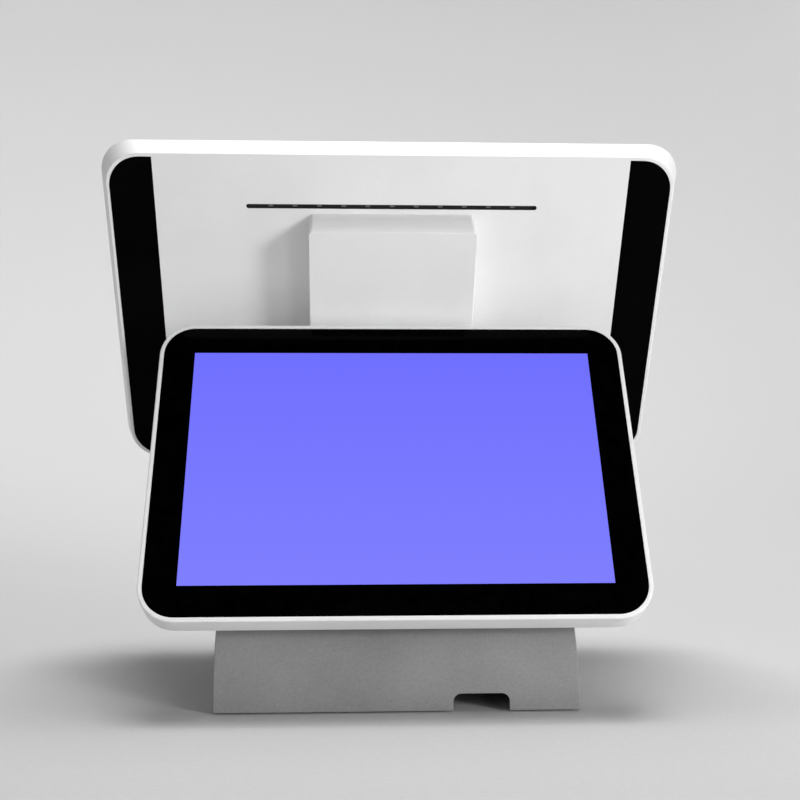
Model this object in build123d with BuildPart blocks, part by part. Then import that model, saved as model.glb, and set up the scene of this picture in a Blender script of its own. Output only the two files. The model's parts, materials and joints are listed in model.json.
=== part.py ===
from build123d import *
import os
from math import cos, radians, sin, sqrt
from types import SimpleNamespace

# A counter-top till terminal with two screens: a large one for the operator and a smaller one for the
# customer, back to back on one base. Millimetres. +Z is up, the customer stands on the -Y side, the
# operator on the +Y side, and the origin is the middle of the outline on the counter.

os.makedirs("parts", exist_ok=True)

# ---------------------------------------------------------------- fits and stock
seat_gap = 0.15  # round a piece dropped into its pocket
run_gap = 0.05  # a turning shaft in its bush, on the radius
slide_gap = 0.25  # round the push button
swing_gap = 0.8  # between a swinging cover and the knuckle that it swings about
clear_gap = 1.0  # between pieces that never touch
wall = 2.2  # moulded covers
base_wall = 3.0
sheet = 1.2  # chassis steel
board = 1.6  # circuit board
soft_edge = 0.8  # rounding of outer moulded edges
glass_edge = 0.3
glass = 2.0
tape = 1.0  # foam tape behind the glass
tape_back = 4.0  # the tape stays this far outside the lit area
rim = 2.7  # white edge round the glass
panel_lip = 0.4
standoff = 1.5
boss_wall = 1.6

# ---------------------------------------------------------------- fasteners
screw = 1.25
screw_head = 2.5
screw_head_height = 1.3
screw_length = 5.2  # with its head
screw_socket = 0.8
bolt = 2.0
bolt_head = 3.5
bolt_head_height = 2.8

# ---------------------------------------------------------------- the two heads
main = SimpleNamespace(
    width=378.5,  # outline of the back face
    height=231.0,
    corner=22.8,
    depth=18.7,
    flare=(6.0, 4.2),  # width and height grow by this much at each side from back to front
    lean=28.5,  # from upright, towards the customer
    facing=1,  # the screen faces +Y
    centre_z=255.0,  # middle of the glass above the counter
    screen=(344.2, 193.6),  # lit area, 15.6 inch
    panel=(359.5, 216.0),  # outline of the display module
    panel_depth=4.0,
    skin=1.6,  # depth of the recesses over the cover's screws
    cover_x=172.0,
    cover_rows=(-85.0, 0.0, 85.0),
    board_at=(104.0, 0.0),
    board=(100.0, 120.0),
    hinge_up=-66.5,  # hinge axis from the middle, up along the head
    travel=24.0,  # degrees that the head tilts towards upright
    bolt_rows=(24.0, 64.0),  # bracket bolts above the axis
)
customer = SimpleNamespace(
    width=307.4,
    height=207.8,
    corner=22.8,
    flare=(0.0, 0.0),
    lean=30.5,
    facing=-1,
    centre_z=147.6,
    screen=(261.1, 163.2),  # 12.1 inch
    panel=(276.8, 180.0),
    panel_depth=4.0,
    skin=0.0,
    cover_x=140.0,
    cover_rows=(-90.0, 90.0),
    board_at=(95.0, 20.0),
    board=(60.0, 90.0),
    board_room=2.5,  # between the back cover and the board, for its connectors
    hinge_up=-42.8,
    travel=10.0,
    bolt_rows=(22.0, 42.0),
)
customer.depth = wall + customer.board_room + board + standoff + sheet + customer.panel_depth + tape + glass
setback = 103.8  # between the middles of the two glasses, along Y
rim_rows = (-0.4, -0.14, 0.14, 0.4)  # chassis screws, as shares of the display's height
board_inset = 4.0

# ---------------------------------------------------------------- back of the main head
strip_outer = (374.4, 226.8)  # outline that the black side panels share
strip_corner = 20.7
strip_inner = 158.1
vent_up = 80.1
vent_size = (195.4, 3.0)
vent_groove = 1.6
vent_cells = 12
vent_rib = 3.0
mesh_thick = 0.5
mesh_lap = 3.0
button_x = 150.0
button_height = 6.3  # its axis in front of the back face
button_radius = 2.8
button_flange = 3.7
button_proud = 1.0
button_travel = 0.8
switch_size = (6.0, 4.0)
speaker_x = 98.0
speaker_size = (66.0, 22.0)
speaker_depth = 6.0
speaker_cone = 8.0
sound_slots = 9
sound_slot = (4.6, 1.6)
sound_pitch = 5.0
cone_width = 46.0

# ---------------------------------------------------------------- boards: x and y are from a board's middle
cpu = SimpleNamespace(at=(0.0, 22.0), size=16.0, high=1.0)
sink = SimpleNamespace(size=(56.0, 50.0), base=1.2, fins=13, fin=1.4)
memory = SimpleNamespace(at=(-12.0, -22.0), size=(68.0, 22.0), chips=4)
drive = SimpleNamespace(at=(36.0, -12.0), size=(16.0, 40.0), chips=2)
plug_deep = 6.0  # the cards' sockets
plug_high = 3.0
card_gap = 1.0  # between the plug-in cards and the mainboard
card_thick = 0.8
card_chip = 1.0
chip_share = 0.7  # of the card's pitch and width
main_blocks = (  # x, y, wide, tall, high: the processor, the cards' sockets, three connectors
    (*cpu.at, cpu.size, cpu.size, cpu.high),
    (memory.at[0], memory.at[1] - (memory.size[1] + plug_deep) / 2, memory.size[0], plug_deep, plug_high),
    (drive.at[0], drive.at[1] - (drive.size[1] + plug_deep) / 2, drive.size[0], plug_deep, plug_high),
    (-30.0, -49.0, 22.0, 6.0, 3.4),
    (4.0, -49.0, 14.0, 6.0, 3.4),
    (-40.0, 20.0, 6.0, 26.0, 3.0),
)
customer_blocks = (  # a scaler chip, two connectors and a coil
    (0.0, 10.0, 12.0, 12.0, 1.0),
    (-16.0, 34.0, 20.0, 5.0, 2.2),
    (12.0, -36.0, 24.0, 5.0, 2.2),
    (-16.0, -14.0, 8.0, 14.0, 1.6),
)

# ---------------------------------------------------------------- tilt hinges
knuckle = 12.0  # outer radius of a post's rounded top
post_width = 70.0
barrel = 9.0  # casting round the bushes
bush = 6.0
bush_length = 15.0
shaft = 4.0
shaft_end = 0.5
washer_thick = 1.0
ear_thick = 3.5
ear_radius = 8.4
spring_thick = 2.4
nut_thick = 5.0
nut_across = 13.0
shaft_tail = 1.5  # shaft past its nut
shaft_room = 1.95  # between the shaft's ends and the hinge covers
plate = 2.5  # hinge bracket steel
bracket_rise = 15.0  # bracket's lower edge above the axis
bracket_edge = 9.0  # from the last bolts to its upper edge
bolt_spread = 28.0  # bolts each side of the middle
wire_hole = (30.0, 9.0)
wire_corner = 3.0

# ---------------------------------------------------------------- hinge covers on the heads' backs
boss_inset = 4.4
neck = SimpleNamespace(
    top=75.2,  # top edge on the back face, from the head's middle
    drop=3.6,  # the top face falls this much to its outer edge
    depth=26.3,
    corner=3.0,
    boss_rows=(60.0, -30.0),
)
customer_neck = SimpleNamespace(
    top=24.0,
    drop=14.0,
    depth=26.0,
    corner=3.0,
    boss_rows=(2.0, -24.0),
)

# ---------------------------------------------------------------- stand, along Y from the customer's glass
base_width = 219.3
base_front = -38.9
base_rear = 150.0
base_curve = 72.0  # quarter-round front
base_lift = 1.2  # shell's lower edge above the counter
base_back_edge = 8.0
notch_x = 50.5
notch_width = 34.0
notch_height = 10.0
notch_corner = 5.0
notch_room = 3.0
floor_plate = 3.0  # steel base plate
floor_lift = 2.2  # its underside above the counter
foot_radius = 10.0
foot_inset = 17.0
post_inset = 30.0  # shell's screw posts
web = 8.0  # half thickness of the castings
web_width = 50.0
column_front = 70.0  # the posts' feet, at the height of the shelf
pedestal_rear = 40.0
arm_foot = (66.0, 62.0)
arm_ahead = -2.0  # middle of the foot from the column's axis
arm_foot_thick = 5.0
arm_bolts = (25.0, 24.0)  # from the middle of the foot
bay_left = -60.0  # cable bay in the base plate
bay_right = 72.0
bay_front = -24.0
bay_rear = 27.0
shelf_top = 52.0  # customer bracket's arm, above the counter
shelf_thick = 6.0
shelf_flange = 22.0
shelf_bolt = 16.0
column_screws = (24.0, 64.0)  # cover screws below the hinge axis
pedestal_screws = (17.0,)
cover_boss = 4.5
cover_seat = 1.2  # boss under each screw's head
io_height = 34.0
io_flange = 10.0
io_board = (120.0, 42.0)
io_standoff = 6.0
io_x = 9.0
jack_x = -38.0
jack_size = (10.0, 14.0, 11.0)
jack_bore = 3.2
jack_pin = 1.0
jack_deep = 9.0
usb_x = (-12.0, 12.0)
usb_size = (14.6, 17.5, 15.6)
usb_mouth = (12.4, 5.0)
usb_pitch = 7.0
usb_tongue = 1.9
usb_deep = 12.0
lan_x = 42.0
lan_size = (16.0, 21.0, 13.4)
lan_mouth = (11.8, 8.2)
lan_deep = 13.0


# ---------------------------------------------------------------- the frame of each head
def set_out(head, glass_y):
    """Places a head: its stack from back to front and the planes that its pieces are drawn on."""
    normal = Vector(0, head.facing * cos(radians(head.lean)), sin(radians(head.lean)))
    head.origin = Vector(0, glass_y, head.centre_z) - normal * head.depth
    # back: x across, y up along the head, z from the back face towards the screen
    head.back = Plane(head.origin, x_dir=(-head.facing, 0, 0), z_dir=normal)
    # side: x out of the back face, y up along the head
    head.side = Plane(head.origin, x_dir=-normal, z_dir=(-head.facing, 0, 0))
    head.out = Axis(head.origin, normal)
    head.up = Axis(head.origin, head.back.y_dir)
    head.glass_size = (head.width + 2 * (head.flare[0] - rim), head.height + 2 * (head.flare[1] - rim))
    head.glass_corner = head.corner - rim
    head.ledge = head.depth - glass - tape
    head.split = head.ledge - head.panel_depth
    head.chassis = head.split - sheet
    head.under = head.chassis - standoff - board
    head.axis_at = head.side.from_local_coords(Vector(hinge_out, head.hinge_up, 0))


hinge_out = knuckle + swing_gap  # hinge axis behind a head's back face
customer_reach = (customer.height / 2 + customer.flare[1]) * sin(radians(customer.lean))
main_reach = setback + (main.height / 2 + main.flare[1]) * sin(radians(main.lean))
datum = (customer_reach - main_reach) / 2  # Y of the middle of the customer's glass
set_out(main, datum + setback)
set_out(customer, datum)

# feet of the posts, front and rear, at the height of the customer bracket's arm
main.post = (datum + column_front, main.axis_at.Y + knuckle)
customer.post = (customer.axis_at.Y - knuckle, datum + pedestal_rear)

base_top = base_lift + base_curve
floor_top = floor_lift + floor_plate
front_y = datum + base_front
rear_y = datum + base_rear
barrel_half = post_width / 2 + swing_gap + wall + seat_gap
ear_start = barrel_half + washer_thick
spring_start = ear_start + ear_thick
nut_start = spring_start + spring_thick
shaft_half = nut_start + nut_thick + shaft_tail
for cover in (neck, customer_neck):
    cover.width = 2 * (shaft_half + shaft_room + wall)


def keep(piece, name):
    piece.label = name
    export_step(piece, f"parts/{name}.step")


def both_sides(x, rows):
    return [(side * x, row) for side in (-1, 1) for row in rows]


def corners(middle, across):
    """Four places, each as far from the middle as across says: (x, y) for all."""
    return [(middle[0] + a * across[0], middle[1] + b * across[1]) for a in (-1, 1) for b in (-1, 1)]


def rim_spots(head):
    """Chassis screws, in the ledge beside the display."""
    x = (head.panel[0] + head.glass_size[0]) / 4
    return both_sides(x, [row * head.panel[1] for row in rim_rows])


def cover_spots(head):
    return both_sides(head.cover_x, head.cover_rows)


def bolt_spots(head):
    return both_sides(bolt_spread, [head.hinge_up + row for row in head.bolt_rows])


def board_spots(head):
    return corners(head.board_at, (head.board[0] / 2 - board_inset, head.board[1] / 2 - board_inset))


def boss_spots(cover):
    return both_sides(cover.width / 2 - wall - boss_inset, cover.boss_rows)


def wire_spot(head):
    return (0, head.hinge_up + sum(head.bolt_rows) / 2)


# ---------------------------------------------------------------- fasteners and holes
def screws(plane, spots, way=1):
    """Small pan-head screws: the tops of the heads lie on the plane and the shanks run its way (1 or -1)."""
    for radius, length in ((screw_head, screw_head_height), (screw, screw_length)):
        with BuildSketch(plane) as rounds:
            with Locations(*spots):
                Circle(radius)
        extrude(rounds.sketch, amount=way * length)
    with BuildSketch(plane) as sockets:
        with Locations(*spots):
            RegularPolygon(screw_socket, 6)
    extrude(sockets.sketch, amount=way * screw_socket, mode=Mode.SUBTRACT)


def bolts(plane, spots, length, way=1):
    """Socket-head bolts: the heads stand on the plane and the shanks run its way (1 or -1)."""
    for radius, amount in ((bolt_head, -bolt_head_height), (bolt, length)):
        with BuildSketch(plane) as rounds:
            with Locations(*spots):
                Circle(radius)
        extrude(rounds.sketch, amount=way * amount)
    with BuildSketch(plane.offset(-way * bolt_head_height)) as sockets:
        with Locations(*spots):
            RegularPolygon(bolt, 6)
    extrude(sockets.sketch, amount=way * bolt, mode=Mode.SUBTRACT)


def holes(plane, spots, radius, depth):
    with BuildSketch(plane) as rounds:
        with Locations(*spots):
            Circle(radius)
    extrude(rounds.sketch, amount=depth, mode=Mode.SUBTRACT)


# ---------------------------------------------------------------- pieces that both heads have
def tapered(head, low, high, inset):
    """Solid between two heights above the back face that follows the outer skin, drawn in by inset."""
    # each profile: x along the width or the height, y from the back face towards the screen
    wide = (head.width, head.flare[0], head.back.x_dir, -head.back.y_dir, Mode.ADD)
    tall = (head.height, head.flare[1], head.back.y_dir, head.back.x_dir, Mode.INTERSECT)
    with BuildPart() as block:
        for length, flare, way, normal, mode in (wide, tall):
            near, far = [length / 2 + flare * height_in / head.depth - inset for height_in in (low, high)]
            with BuildSketch(Plane(head.origin, x_dir=way, z_dir=normal)):
                with BuildLine():
                    Polyline((-near, low), (near, low), (far, high), (-far, high), close=True)
                make_face()
            extrude(amount=head.width, both=True, mode=mode)
        fillet(block.edges() - block.faces().filter_by(head.out).edges(), head.corner - inset)
    return block.part


def cover_glass(head):
    with BuildPart() as pane:
        with BuildSketch(head.back.offset(head.depth - glass)):
            wide, tall = head.glass_size
            RectangleRounded(wide - 2 * seat_gap, tall - 2 * seat_gap, head.glass_corner - seat_gap)
        extrude(amount=glass)
        chamfer(pane.faces().sort_by(head.out)[-1].edges(), glass_edge)
    return pane.part


def glass_tape(head):
    """Foam tape ring that holds the glass on the frame's ledge and on the display's edge."""
    with BuildPart() as ring:
        with BuildSketch(head.back.offset(head.ledge)):
            wide, tall = head.glass_size
            RectangleRounded(wide - 2 * clear_gap, tall - 2 * clear_gap, head.glass_corner - clear_gap)
            Rectangle(head.screen[0] + 2 * tape_back, head.screen[1] + 2 * tape_back, mode=Mode.SUBTRACT)
        extrude(amount=tape)
    return ring.part


def display_panel(head):
    """The display module, its lit area a little below its metal edge."""
    with BuildPart() as panel:
        with BuildSketch(head.back.offset(head.split)):
            Rectangle(*head.panel)
        extrude(amount=head.panel_depth)
        with BuildSketch(head.back.offset(head.ledge - panel_lip)):
            Rectangle(*head.screen)
        extrude(amount=panel_lip, mode=Mode.SUBTRACT)
    return panel.part


def front_frame(head):
    """White moulding round the glass, with a pocket for the display and a ledge for the tape."""
    with BuildPart() as frame:
        add(tapered(head, head.split, head.depth, 0))
        fillet(frame.faces().sort_by(head.out)[-1].edges(), soft_edge)
        with BuildSketch(head.back.offset(head.split)):
            Rectangle(head.panel[0] + 2 * seat_gap, head.panel[1] + 2 * seat_gap)
        extrude(amount=head.depth - head.split, mode=Mode.SUBTRACT)
        with BuildSketch(head.back.offset(head.ledge)):
            RectangleRounded(*head.glass_size, head.glass_corner)
        extrude(amount=head.depth - head.ledge, mode=Mode.SUBTRACT)
        holes(head.back.offset(head.split), rim_spots(head), screw, screw_length - screw_head_height - sheet)
    return frame.part


def chassis(head):
    """Steel sheet behind the display, with pressed-in bosses for the cover, the bracket and the board."""
    seats = (
        (bolt_spots(head), wall, bolt),
        (cover_spots(head), head.skin + wall, screw),
        (board_spots(head), head.chassis - standoff, screw),
    )
    with BuildPart() as tray:
        with BuildSketch(head.back.offset(head.chassis)):
            wide, tall = [flare * head.chassis / head.depth - wall - clear_gap for flare in head.flare]
            RectangleRounded(head.width + 2 * wide, head.height + 2 * tall, head.corner - wall)
        extrude(amount=sheet)
        for spots, start, hole in seats:
            with BuildSketch(head.back.offset(start)):
                with Locations(*spots):
                    Circle(hole + boss_wall)
            extrude(amount=head.chassis - start)
            holes(head.back.offset(start), spots, hole, head.split - start)
        holes(head.back.offset(head.chassis), rim_spots(head), screw, sheet)
    return tray.part


def rear_shell(head, cover):
    """A head's back moulding: its walls, the seats of its screws and the holes under the hinge cover."""
    with BuildPart() as shell:
        add(tapered(head, 0, head.split, 0))
        fillet(shell.faces().sort_by(head.out)[0].edges(), soft_edge)
        if head.skin:
            # the middle of the floor; it steps in by the recesses' depth at each side
            with BuildSketch(head.back.offset(wall)):
                Rectangle(2 * (strip_inner - wall), head.height - 2 * wall)
            extrude(amount=head.skin, mode=Mode.SUBTRACT)
        add(tapered(head, head.skin + wall, head.split, wall), mode=Mode.SUBTRACT)
        holes(head.back, bolt_spots(head), bolt, wall)
        holes(head.back, cover_spots(head), screw, head.skin + wall)
        holes(head.back, cover_spots(head), screw_head + seat_gap, head.skin + screw_head_height)
        holes(head.back, boss_spots(cover), screw, wall)
        with BuildSketch(head.back):
            with Locations(wire_spot(head)):
                RectangleRounded(*wire_hole, wire_corner)
        extrude(amount=wall, mode=Mode.SUBTRACT)
    return shell.part


def circuit_board(head, blocks):
    """A board on its standoffs with its larger components: (x, y, wide, tall, high) from its middle."""
    with BuildPart() as pcb:
        with BuildSketch(head.back.offset(head.under)):
            with Locations(head.board_at):
                Rectangle(*head.board)
        extrude(amount=board)
        holes(head.back.offset(head.under), board_spots(head), screw, board)
        for x, y, wide, tall, high in blocks:
            with BuildSketch(head.back.offset(head.under)):
                with Locations((head.board_at[0] + x, head.board_at[1] + y)):
                    Rectangle(wide, tall)
            extrude(amount=-high)
    return pcb.part


def head_screws(head, cover):
    with BuildPart() as fixings:
        screws(head.back.offset(head.chassis - screw_head_height), rim_spots(head))
        screws(head.back.offset(head.skin), cover_spots(head))
        screws(head.back.offset(head.under - screw_head_height), board_spots(head))
        screws(head.back.offset(wall + screw_head_height), boss_spots(cover), -1)
    return fixings.part


# ---------------------------------------------------------------- tilt hinge of either head
def on_axis(head, x):
    """A plane across the hinge axis, at x along it."""
    return Plane(head.axis_at, x_dir=head.side.x_dir, z_dir=head.side.z_dir).offset(x)


def rings(head, x, thick, outer, inner):
    """A pair of rings on the hinge axis, from x outwards at each end."""
    for way in (-1, 1):
        with BuildSketch(on_axis(head, way * x)) as ring:
            Circle(outer)
            Circle(inner, mode=Mode.SUBTRACT)
        extrude(ring.sketch, amount=way * thick)


def hinge_bracket(head):
    """Steel plate bolted through the back cover, with two ears that hold the shaft."""
    low = head.hinge_up + bracket_rise
    high = head.hinge_up + head.bolt_rows[-1] + bracket_edge
    half = ear_start + ear_thick
    with BuildPart() as bracket:
        with BuildSketch(head.back):
            with Locations((0, (low + high) / 2)):
                Rectangle(2 * half, high - low)
        extrude(amount=-plate)
        for way in (-1, 1):
            with BuildSketch(head.side.offset(way * ear_start)):
                with Locations((hinge_out, head.hinge_up)):
                    Circle(ear_radius)
                with BuildLine():
                    Polyline(
                        (hinge_out - ear_radius, head.hinge_up),
                        (hinge_out + ear_radius, head.hinge_up),
                        (hinge_out + ear_radius, low),
                        (plate, (low + high) / 2),
                        (0, (low + high) / 2),
                        (0, low),
                        close=True,
                    )
                make_face()
            extrude(amount=way * ear_thick)
            with BuildSketch(on_axis(head, way * ear_start)):
                Circle(shaft)
            extrude(amount=way * ear_thick, mode=Mode.SUBTRACT)
        holes(head.back, bolt_spots(head), bolt, -plate)
        with BuildSketch(head.back):
            with Locations(wire_spot(head)):
                RectangleRounded(*wire_hole, wire_corner)
        extrude(amount=-plate, mode=Mode.SUBTRACT)
    return bracket.part


def bracket_bolts(head):
    with BuildPart() as fixings:
        bolts(head.back.offset(-plate), bolt_spots(head), plate + head.chassis)
    return fixings.part


def tilt_shaft(head):
    with BuildPart() as rod:
        with BuildSketch(on_axis(head, -shaft_half)):
            Circle(shaft)
        extrude(amount=2 * shaft_half)
        chamfer(rod.edges().filter_by(GeomType.CIRCLE), shaft_end)
    return rod.part


def tilt_washers(head):
    """Thin friction washers inside the ears, and stepped spring washers outside them."""
    with BuildPart() as washers:
        rings(head, barrel_half, washer_thick, barrel, shaft)
        rings(head, spring_start, spring_thick / 2, nut_across / 2 + 1, shaft)
        rings(head, spring_start + spring_thick / 2, spring_thick / 2, nut_across / 2, shaft)
    return washers.part


def tilt_nuts(head):
    with BuildPart() as nuts:
        for way in (-1, 1):
            with BuildSketch(on_axis(head, way * nut_start)):
                RegularPolygon(nut_across / 2, 6, major_radius=False)
                Circle(shaft, mode=Mode.SUBTRACT)
            extrude(amount=way * nut_thick)
    return nuts.part


def post_block(head, inset):
    """Solid that a post's cover is cut from, or its hollow when drawn in, or its swept room when grown."""
    front, rear = head.post
    half = post_width / 2 - inset
    with BuildPart() as block:
        with BuildSketch(Plane.YZ.offset(-half)):
            with BuildLine() as edge:
                Line((front + inset, shelf_top), (rear - inset, shelf_top))
                CenterArc((head.axis_at.Y, head.axis_at.Z), knuckle - inset, 0, 360)
            make_hull(edge.edges())
        extrude(amount=2 * half)
    return block.part


def cover_outline(head, cover, inset, open_back):
    """Side view of a hinge cover, drawn in by inset and run past the back face by open_back."""
    low = head.hinge_up - knuckle + inset
    with BuildLine() as edge:
        Polyline(
            (-open_back, cover.top - inset),
            (cover.depth - inset, cover.top - cover.drop - inset),
            (hinge_out + knuckle - inset, low),
            (-open_back, low),
            close=True,
        )
    face = make_face(edge.edges())
    fillet(face.vertices().group_by(Axis.Y)[0].sort_by(Axis.X)[-1], knuckle - inset)


def cover_depth(head, cover, y):
    """How far a hinge cover stands off the back face at height y."""
    low = head.hinge_up - knuckle
    share = (y - low) / (cover.top - cover.drop - low)
    return hinge_out + knuckle + share * (cover.depth - hinge_out - knuckle)


def hinge_cover(head, cover):
    """Box on a head's back that hides the hinge bracket, with a closed cheek each side of the post."""
    half = cover.width / 2
    cheek = post_width / 2 + swing_gap
    with BuildPart() as box:
        with BuildSketch(head.side.offset(-half)):
            cover_outline(head, cover, 0, 0)
        extrude(amount=cover.width)
        for side in box.faces().filter_by(Axis.X):
            fillet(side.edges().sort_by(head.up)[-1], cover.corner)
        fillet(box.faces().sort_by(head.out)[0].edges(), soft_edge)
        with BuildSketch(head.side.offset(wall - half)):
            cover_outline(head, cover, wall, clear_gap)
        extrude(amount=cover.width - 2 * wall, mode=Mode.SUBTRACT)
        for x, y in boss_spots(cover):
            with BuildSketch(head.back):
                with Locations((x, y)):
                    Circle(screw + boss_wall)
            extrude(amount=wall / 2 - cover_depth(head, cover, y))
        holes(head.back, boss_spots(cover), screw, screw_head_height - screw_length)
        for way in (-1, 1):
            # inner wall of the cheek, open towards the head for the casting's barrel
            with BuildSketch(head.side.offset(way * cheek)):
                with Locations((0, head.hinge_up)):
                    Rectangle(hinge_out, 2 * knuckle, align=(Align.MIN, Align.CENTER))
                with Locations((hinge_out, head.hinge_up)):
                    Circle(knuckle)
                    Circle(barrel + swing_gap, mode=Mode.SUBTRACT)
                with Locations((0, head.hinge_up)):
                    mouth = 2 * (barrel + swing_gap)
                    Rectangle(hinge_out, mouth, align=(Align.MIN, Align.CENTER), mode=Mode.SUBTRACT)
            extrude(amount=way * wall)
        for share in (0, 0.5, 1):
            # room for the post over the whole travel
            turn = head.facing * share * head.travel
            add(post_block(head, -swing_gap).rotate(Axis(head.axis_at, (1, 0, 0)), turn), mode=Mode.SUBTRACT)
    return box.part


# ---------------------------------------------------------------- pieces of the main head alone
def strip_face(side, inset):
    """Outline of a black side panel; side is 1 or -1 across the back."""
    with BuildSketch() as outline:
        wide, tall = strip_outer
        RectangleRounded(wide - 2 * inset, tall - 2 * inset, strip_corner - inset)
        with Locations((side * (strip_inner + inset + wide / 2), 0)):
            Rectangle(wide, tall, mode=Mode.INTERSECT)
    return outline.sketch


def side_strip(side):
    with BuildPart() as strip:
        with BuildSketch(main.back):
            add(strip_face(side, seat_gap))
        extrude(amount=main.skin)
        chamfer(strip.faces().sort_by(main.out)[0].edges(), glass_edge)
    return strip.part


sound_spots = [
    (side * speaker_x + (i - (sound_slots - 1) / 2) * sound_pitch, button_height)
    for side in (-1, 1)
    for i in range(sound_slots)
]
main_foot = main.height / 2 + main.flare[1]  # the head's lower edge at its widest
button_wall = main.height / 2 + main.flare[1] * button_height / main.depth  # lower side wall at the button
button_back = main.height / 2 - wall - seat_gap  # outer face of its flange
# below: drawn from under the head, x across and y from the back face towards the screen
below = Plane(main.origin, x_dir=main.back.x_dir, z_dir=-main.back.y_dir)

with BuildPart() as main_rear_cover:
    add(rear_shell(main, neck))
    for side in (-1, 1):
        with BuildSketch(main.back):
            add(strip_face(side, 0))
        extrude(amount=main.skin, mode=Mode.SUBTRACT)
    # long slot: a shallow groove with its openings between ribs
    with BuildSketch(main.back):
        with Locations((0, vent_up)):
            SlotOverall(*vent_size)
    extrude(amount=vent_groove, mode=Mode.SUBTRACT)
    with BuildSketch(main.back):
        with Locations((0, vent_up)):
            SlotOverall(*vent_size)
            with GridLocations(vent_size[0] / vent_cells, 1, vent_cells - 1, 1):
                Rectangle(vent_rib, vent_size[1], mode=Mode.SUBTRACT)
    extrude(amount=wall, mode=Mode.SUBTRACT)
    with BuildSketch(below.offset(main_foot)):
        with Locations(*sound_spots):
            SlotOverall(*sound_slot, rotation=90)
        with Locations((button_x, button_height)):
            Circle(button_radius + slide_gap)
    extrude(amount=button_back - main_foot, mode=Mode.SUBTRACT)
keep(main_rear_cover.part, "main_rear_cover")
keep(side_strip(1), "side_strip_right")
keep(side_strip(-1), "side_strip_left")

with BuildPart() as vent_mesh:
    with BuildSketch(main.back.offset(wall)):
        with Locations((0, vent_up)):
            Rectangle(vent_size[0] + 2 * mesh_lap, vent_size[1] + 2 * mesh_lap)
    extrude(amount=mesh_thick)
keep(vent_mesh.part, "vent_mesh")

keep(circuit_board(main, main_blocks), "mainboard")

with BuildPart() as heat_sink:
    top = main.under - cpu.high
    centre = (main.board_at[0] + cpu.at[0], main.board_at[1] + cpu.at[1])
    with BuildSketch(main.back.offset(top)):
        with Locations(centre):
            Rectangle(*sink.size)
    extrude(amount=-sink.base)
    with BuildSketch(main.back.offset(top - sink.base)):
        with Locations(centre):
            pitch = (sink.size[0] - sink.fin) / (sink.fins - 1)
            with GridLocations(pitch, 1, sink.fins, 1):
                Rectangle(sink.fin, sink.size[1])
    extrude(amount=wall + clear_gap / 2 - top + sink.base)
keep(heat_sink.part, "heat_sink")


def plug_in_card(card, across):
    """A card that lies over the mainboard with one end in its socket; chips are spread across or along."""
    x, y = (main.board_at[0] + card.at[0], main.board_at[1] + card.at[1])
    with BuildPart() as module:
        with BuildSketch(main.back.offset(main.under - card_gap)):
            with Locations((x, y)):
                Rectangle(*card.size)
        extrude(amount=-card_thick)
        with BuildSketch(main.back.offset(main.under - card_gap - card_thick)):
            with Locations((x, y)):
                long = max(card.size) / card.chips
                with GridLocations(long, long, card.chips if across else 1, 1 if across else card.chips):
                    Rectangle(chip_share * long, chip_share * min(card.size), rotation=0 if across else 90)
        extrude(amount=-card_chip)
    return module.part


keep(plug_in_card(memory, True), "memory_card")
keep(plug_in_card(drive, False), "solid_state_drive")


def speaker(side):
    """Boxed speaker on the floor of the back cover; its cone faces the slots in the lower wall."""
    across, tall = speaker_size
    low = button_back - seat_gap
    with BuildPart() as box:
        with BuildSketch(main.back.offset(wall)):
            with Locations((side * speaker_x, tall / 2 - low)):
                RectangleRounded(across, tall, clear_gap)
        extrude(amount=speaker_depth)
        with BuildSketch(below.offset(low)):
            with Locations((side * speaker_x, wall + speaker_depth / 2)):
                SlotOverall(cone_width, speaker_depth - 2 * clear_gap)
        extrude(amount=-speaker_cone, mode=Mode.SUBTRACT)
        with BuildSketch(below.offset(low - clear_gap)):
            with Locations((side * speaker_x, wall + speaker_depth / 2)):
                SlotOverall(cone_width, speaker_depth - 2 * clear_gap)
        extrude(amount=-clear_gap / 2)
    return box.part


keep(speaker(1), "speaker_right")
keep(speaker(-1), "speaker_left")

with BuildPart() as power_button:
    with BuildSketch(below.offset(button_wall + button_proud)):
        with Locations((button_x, button_height)):
            Circle(button_radius)
    extrude(amount=button_back - button_wall - button_proud)
    chamfer(power_button.edges().sort_by(main.up)[0], glass_edge)
    with BuildSketch(below.offset(button_back)):
        with Locations((button_x, button_height)):
            Circle(button_flange)
    extrude(amount=-clear_gap)
keep(power_button.part, "power_button")

with BuildPart() as power_switch:
    # side-push switch on its own small board, flat on the chassis
    face = button_back - clear_gap - button_travel - seat_gap
    across, deep = switch_size
    with BuildSketch(main.back.offset(main.chassis)):
        with Locations((button_x, -face)):
            Rectangle(2 * across, 3 * deep, align=(Align.CENTER, Align.MIN))
    extrude(amount=-board)
    with BuildSketch(main.back.offset(main.chassis - board)):
        with Locations((button_x, -face)):
            Rectangle(across, deep, align=(Align.CENTER, Align.MIN))
    extrude(amount=button_height - button_flange - main.chassis + board + clear_gap)
keep(power_switch.part, "power_switch")

# ---------------------------------------------------------------- pieces of the customer's head alone
keep(rear_shell(customer, customer_neck), "customer_rear_cover")
keep(circuit_board(customer, customer_blocks), "customer_driver_board")

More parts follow.
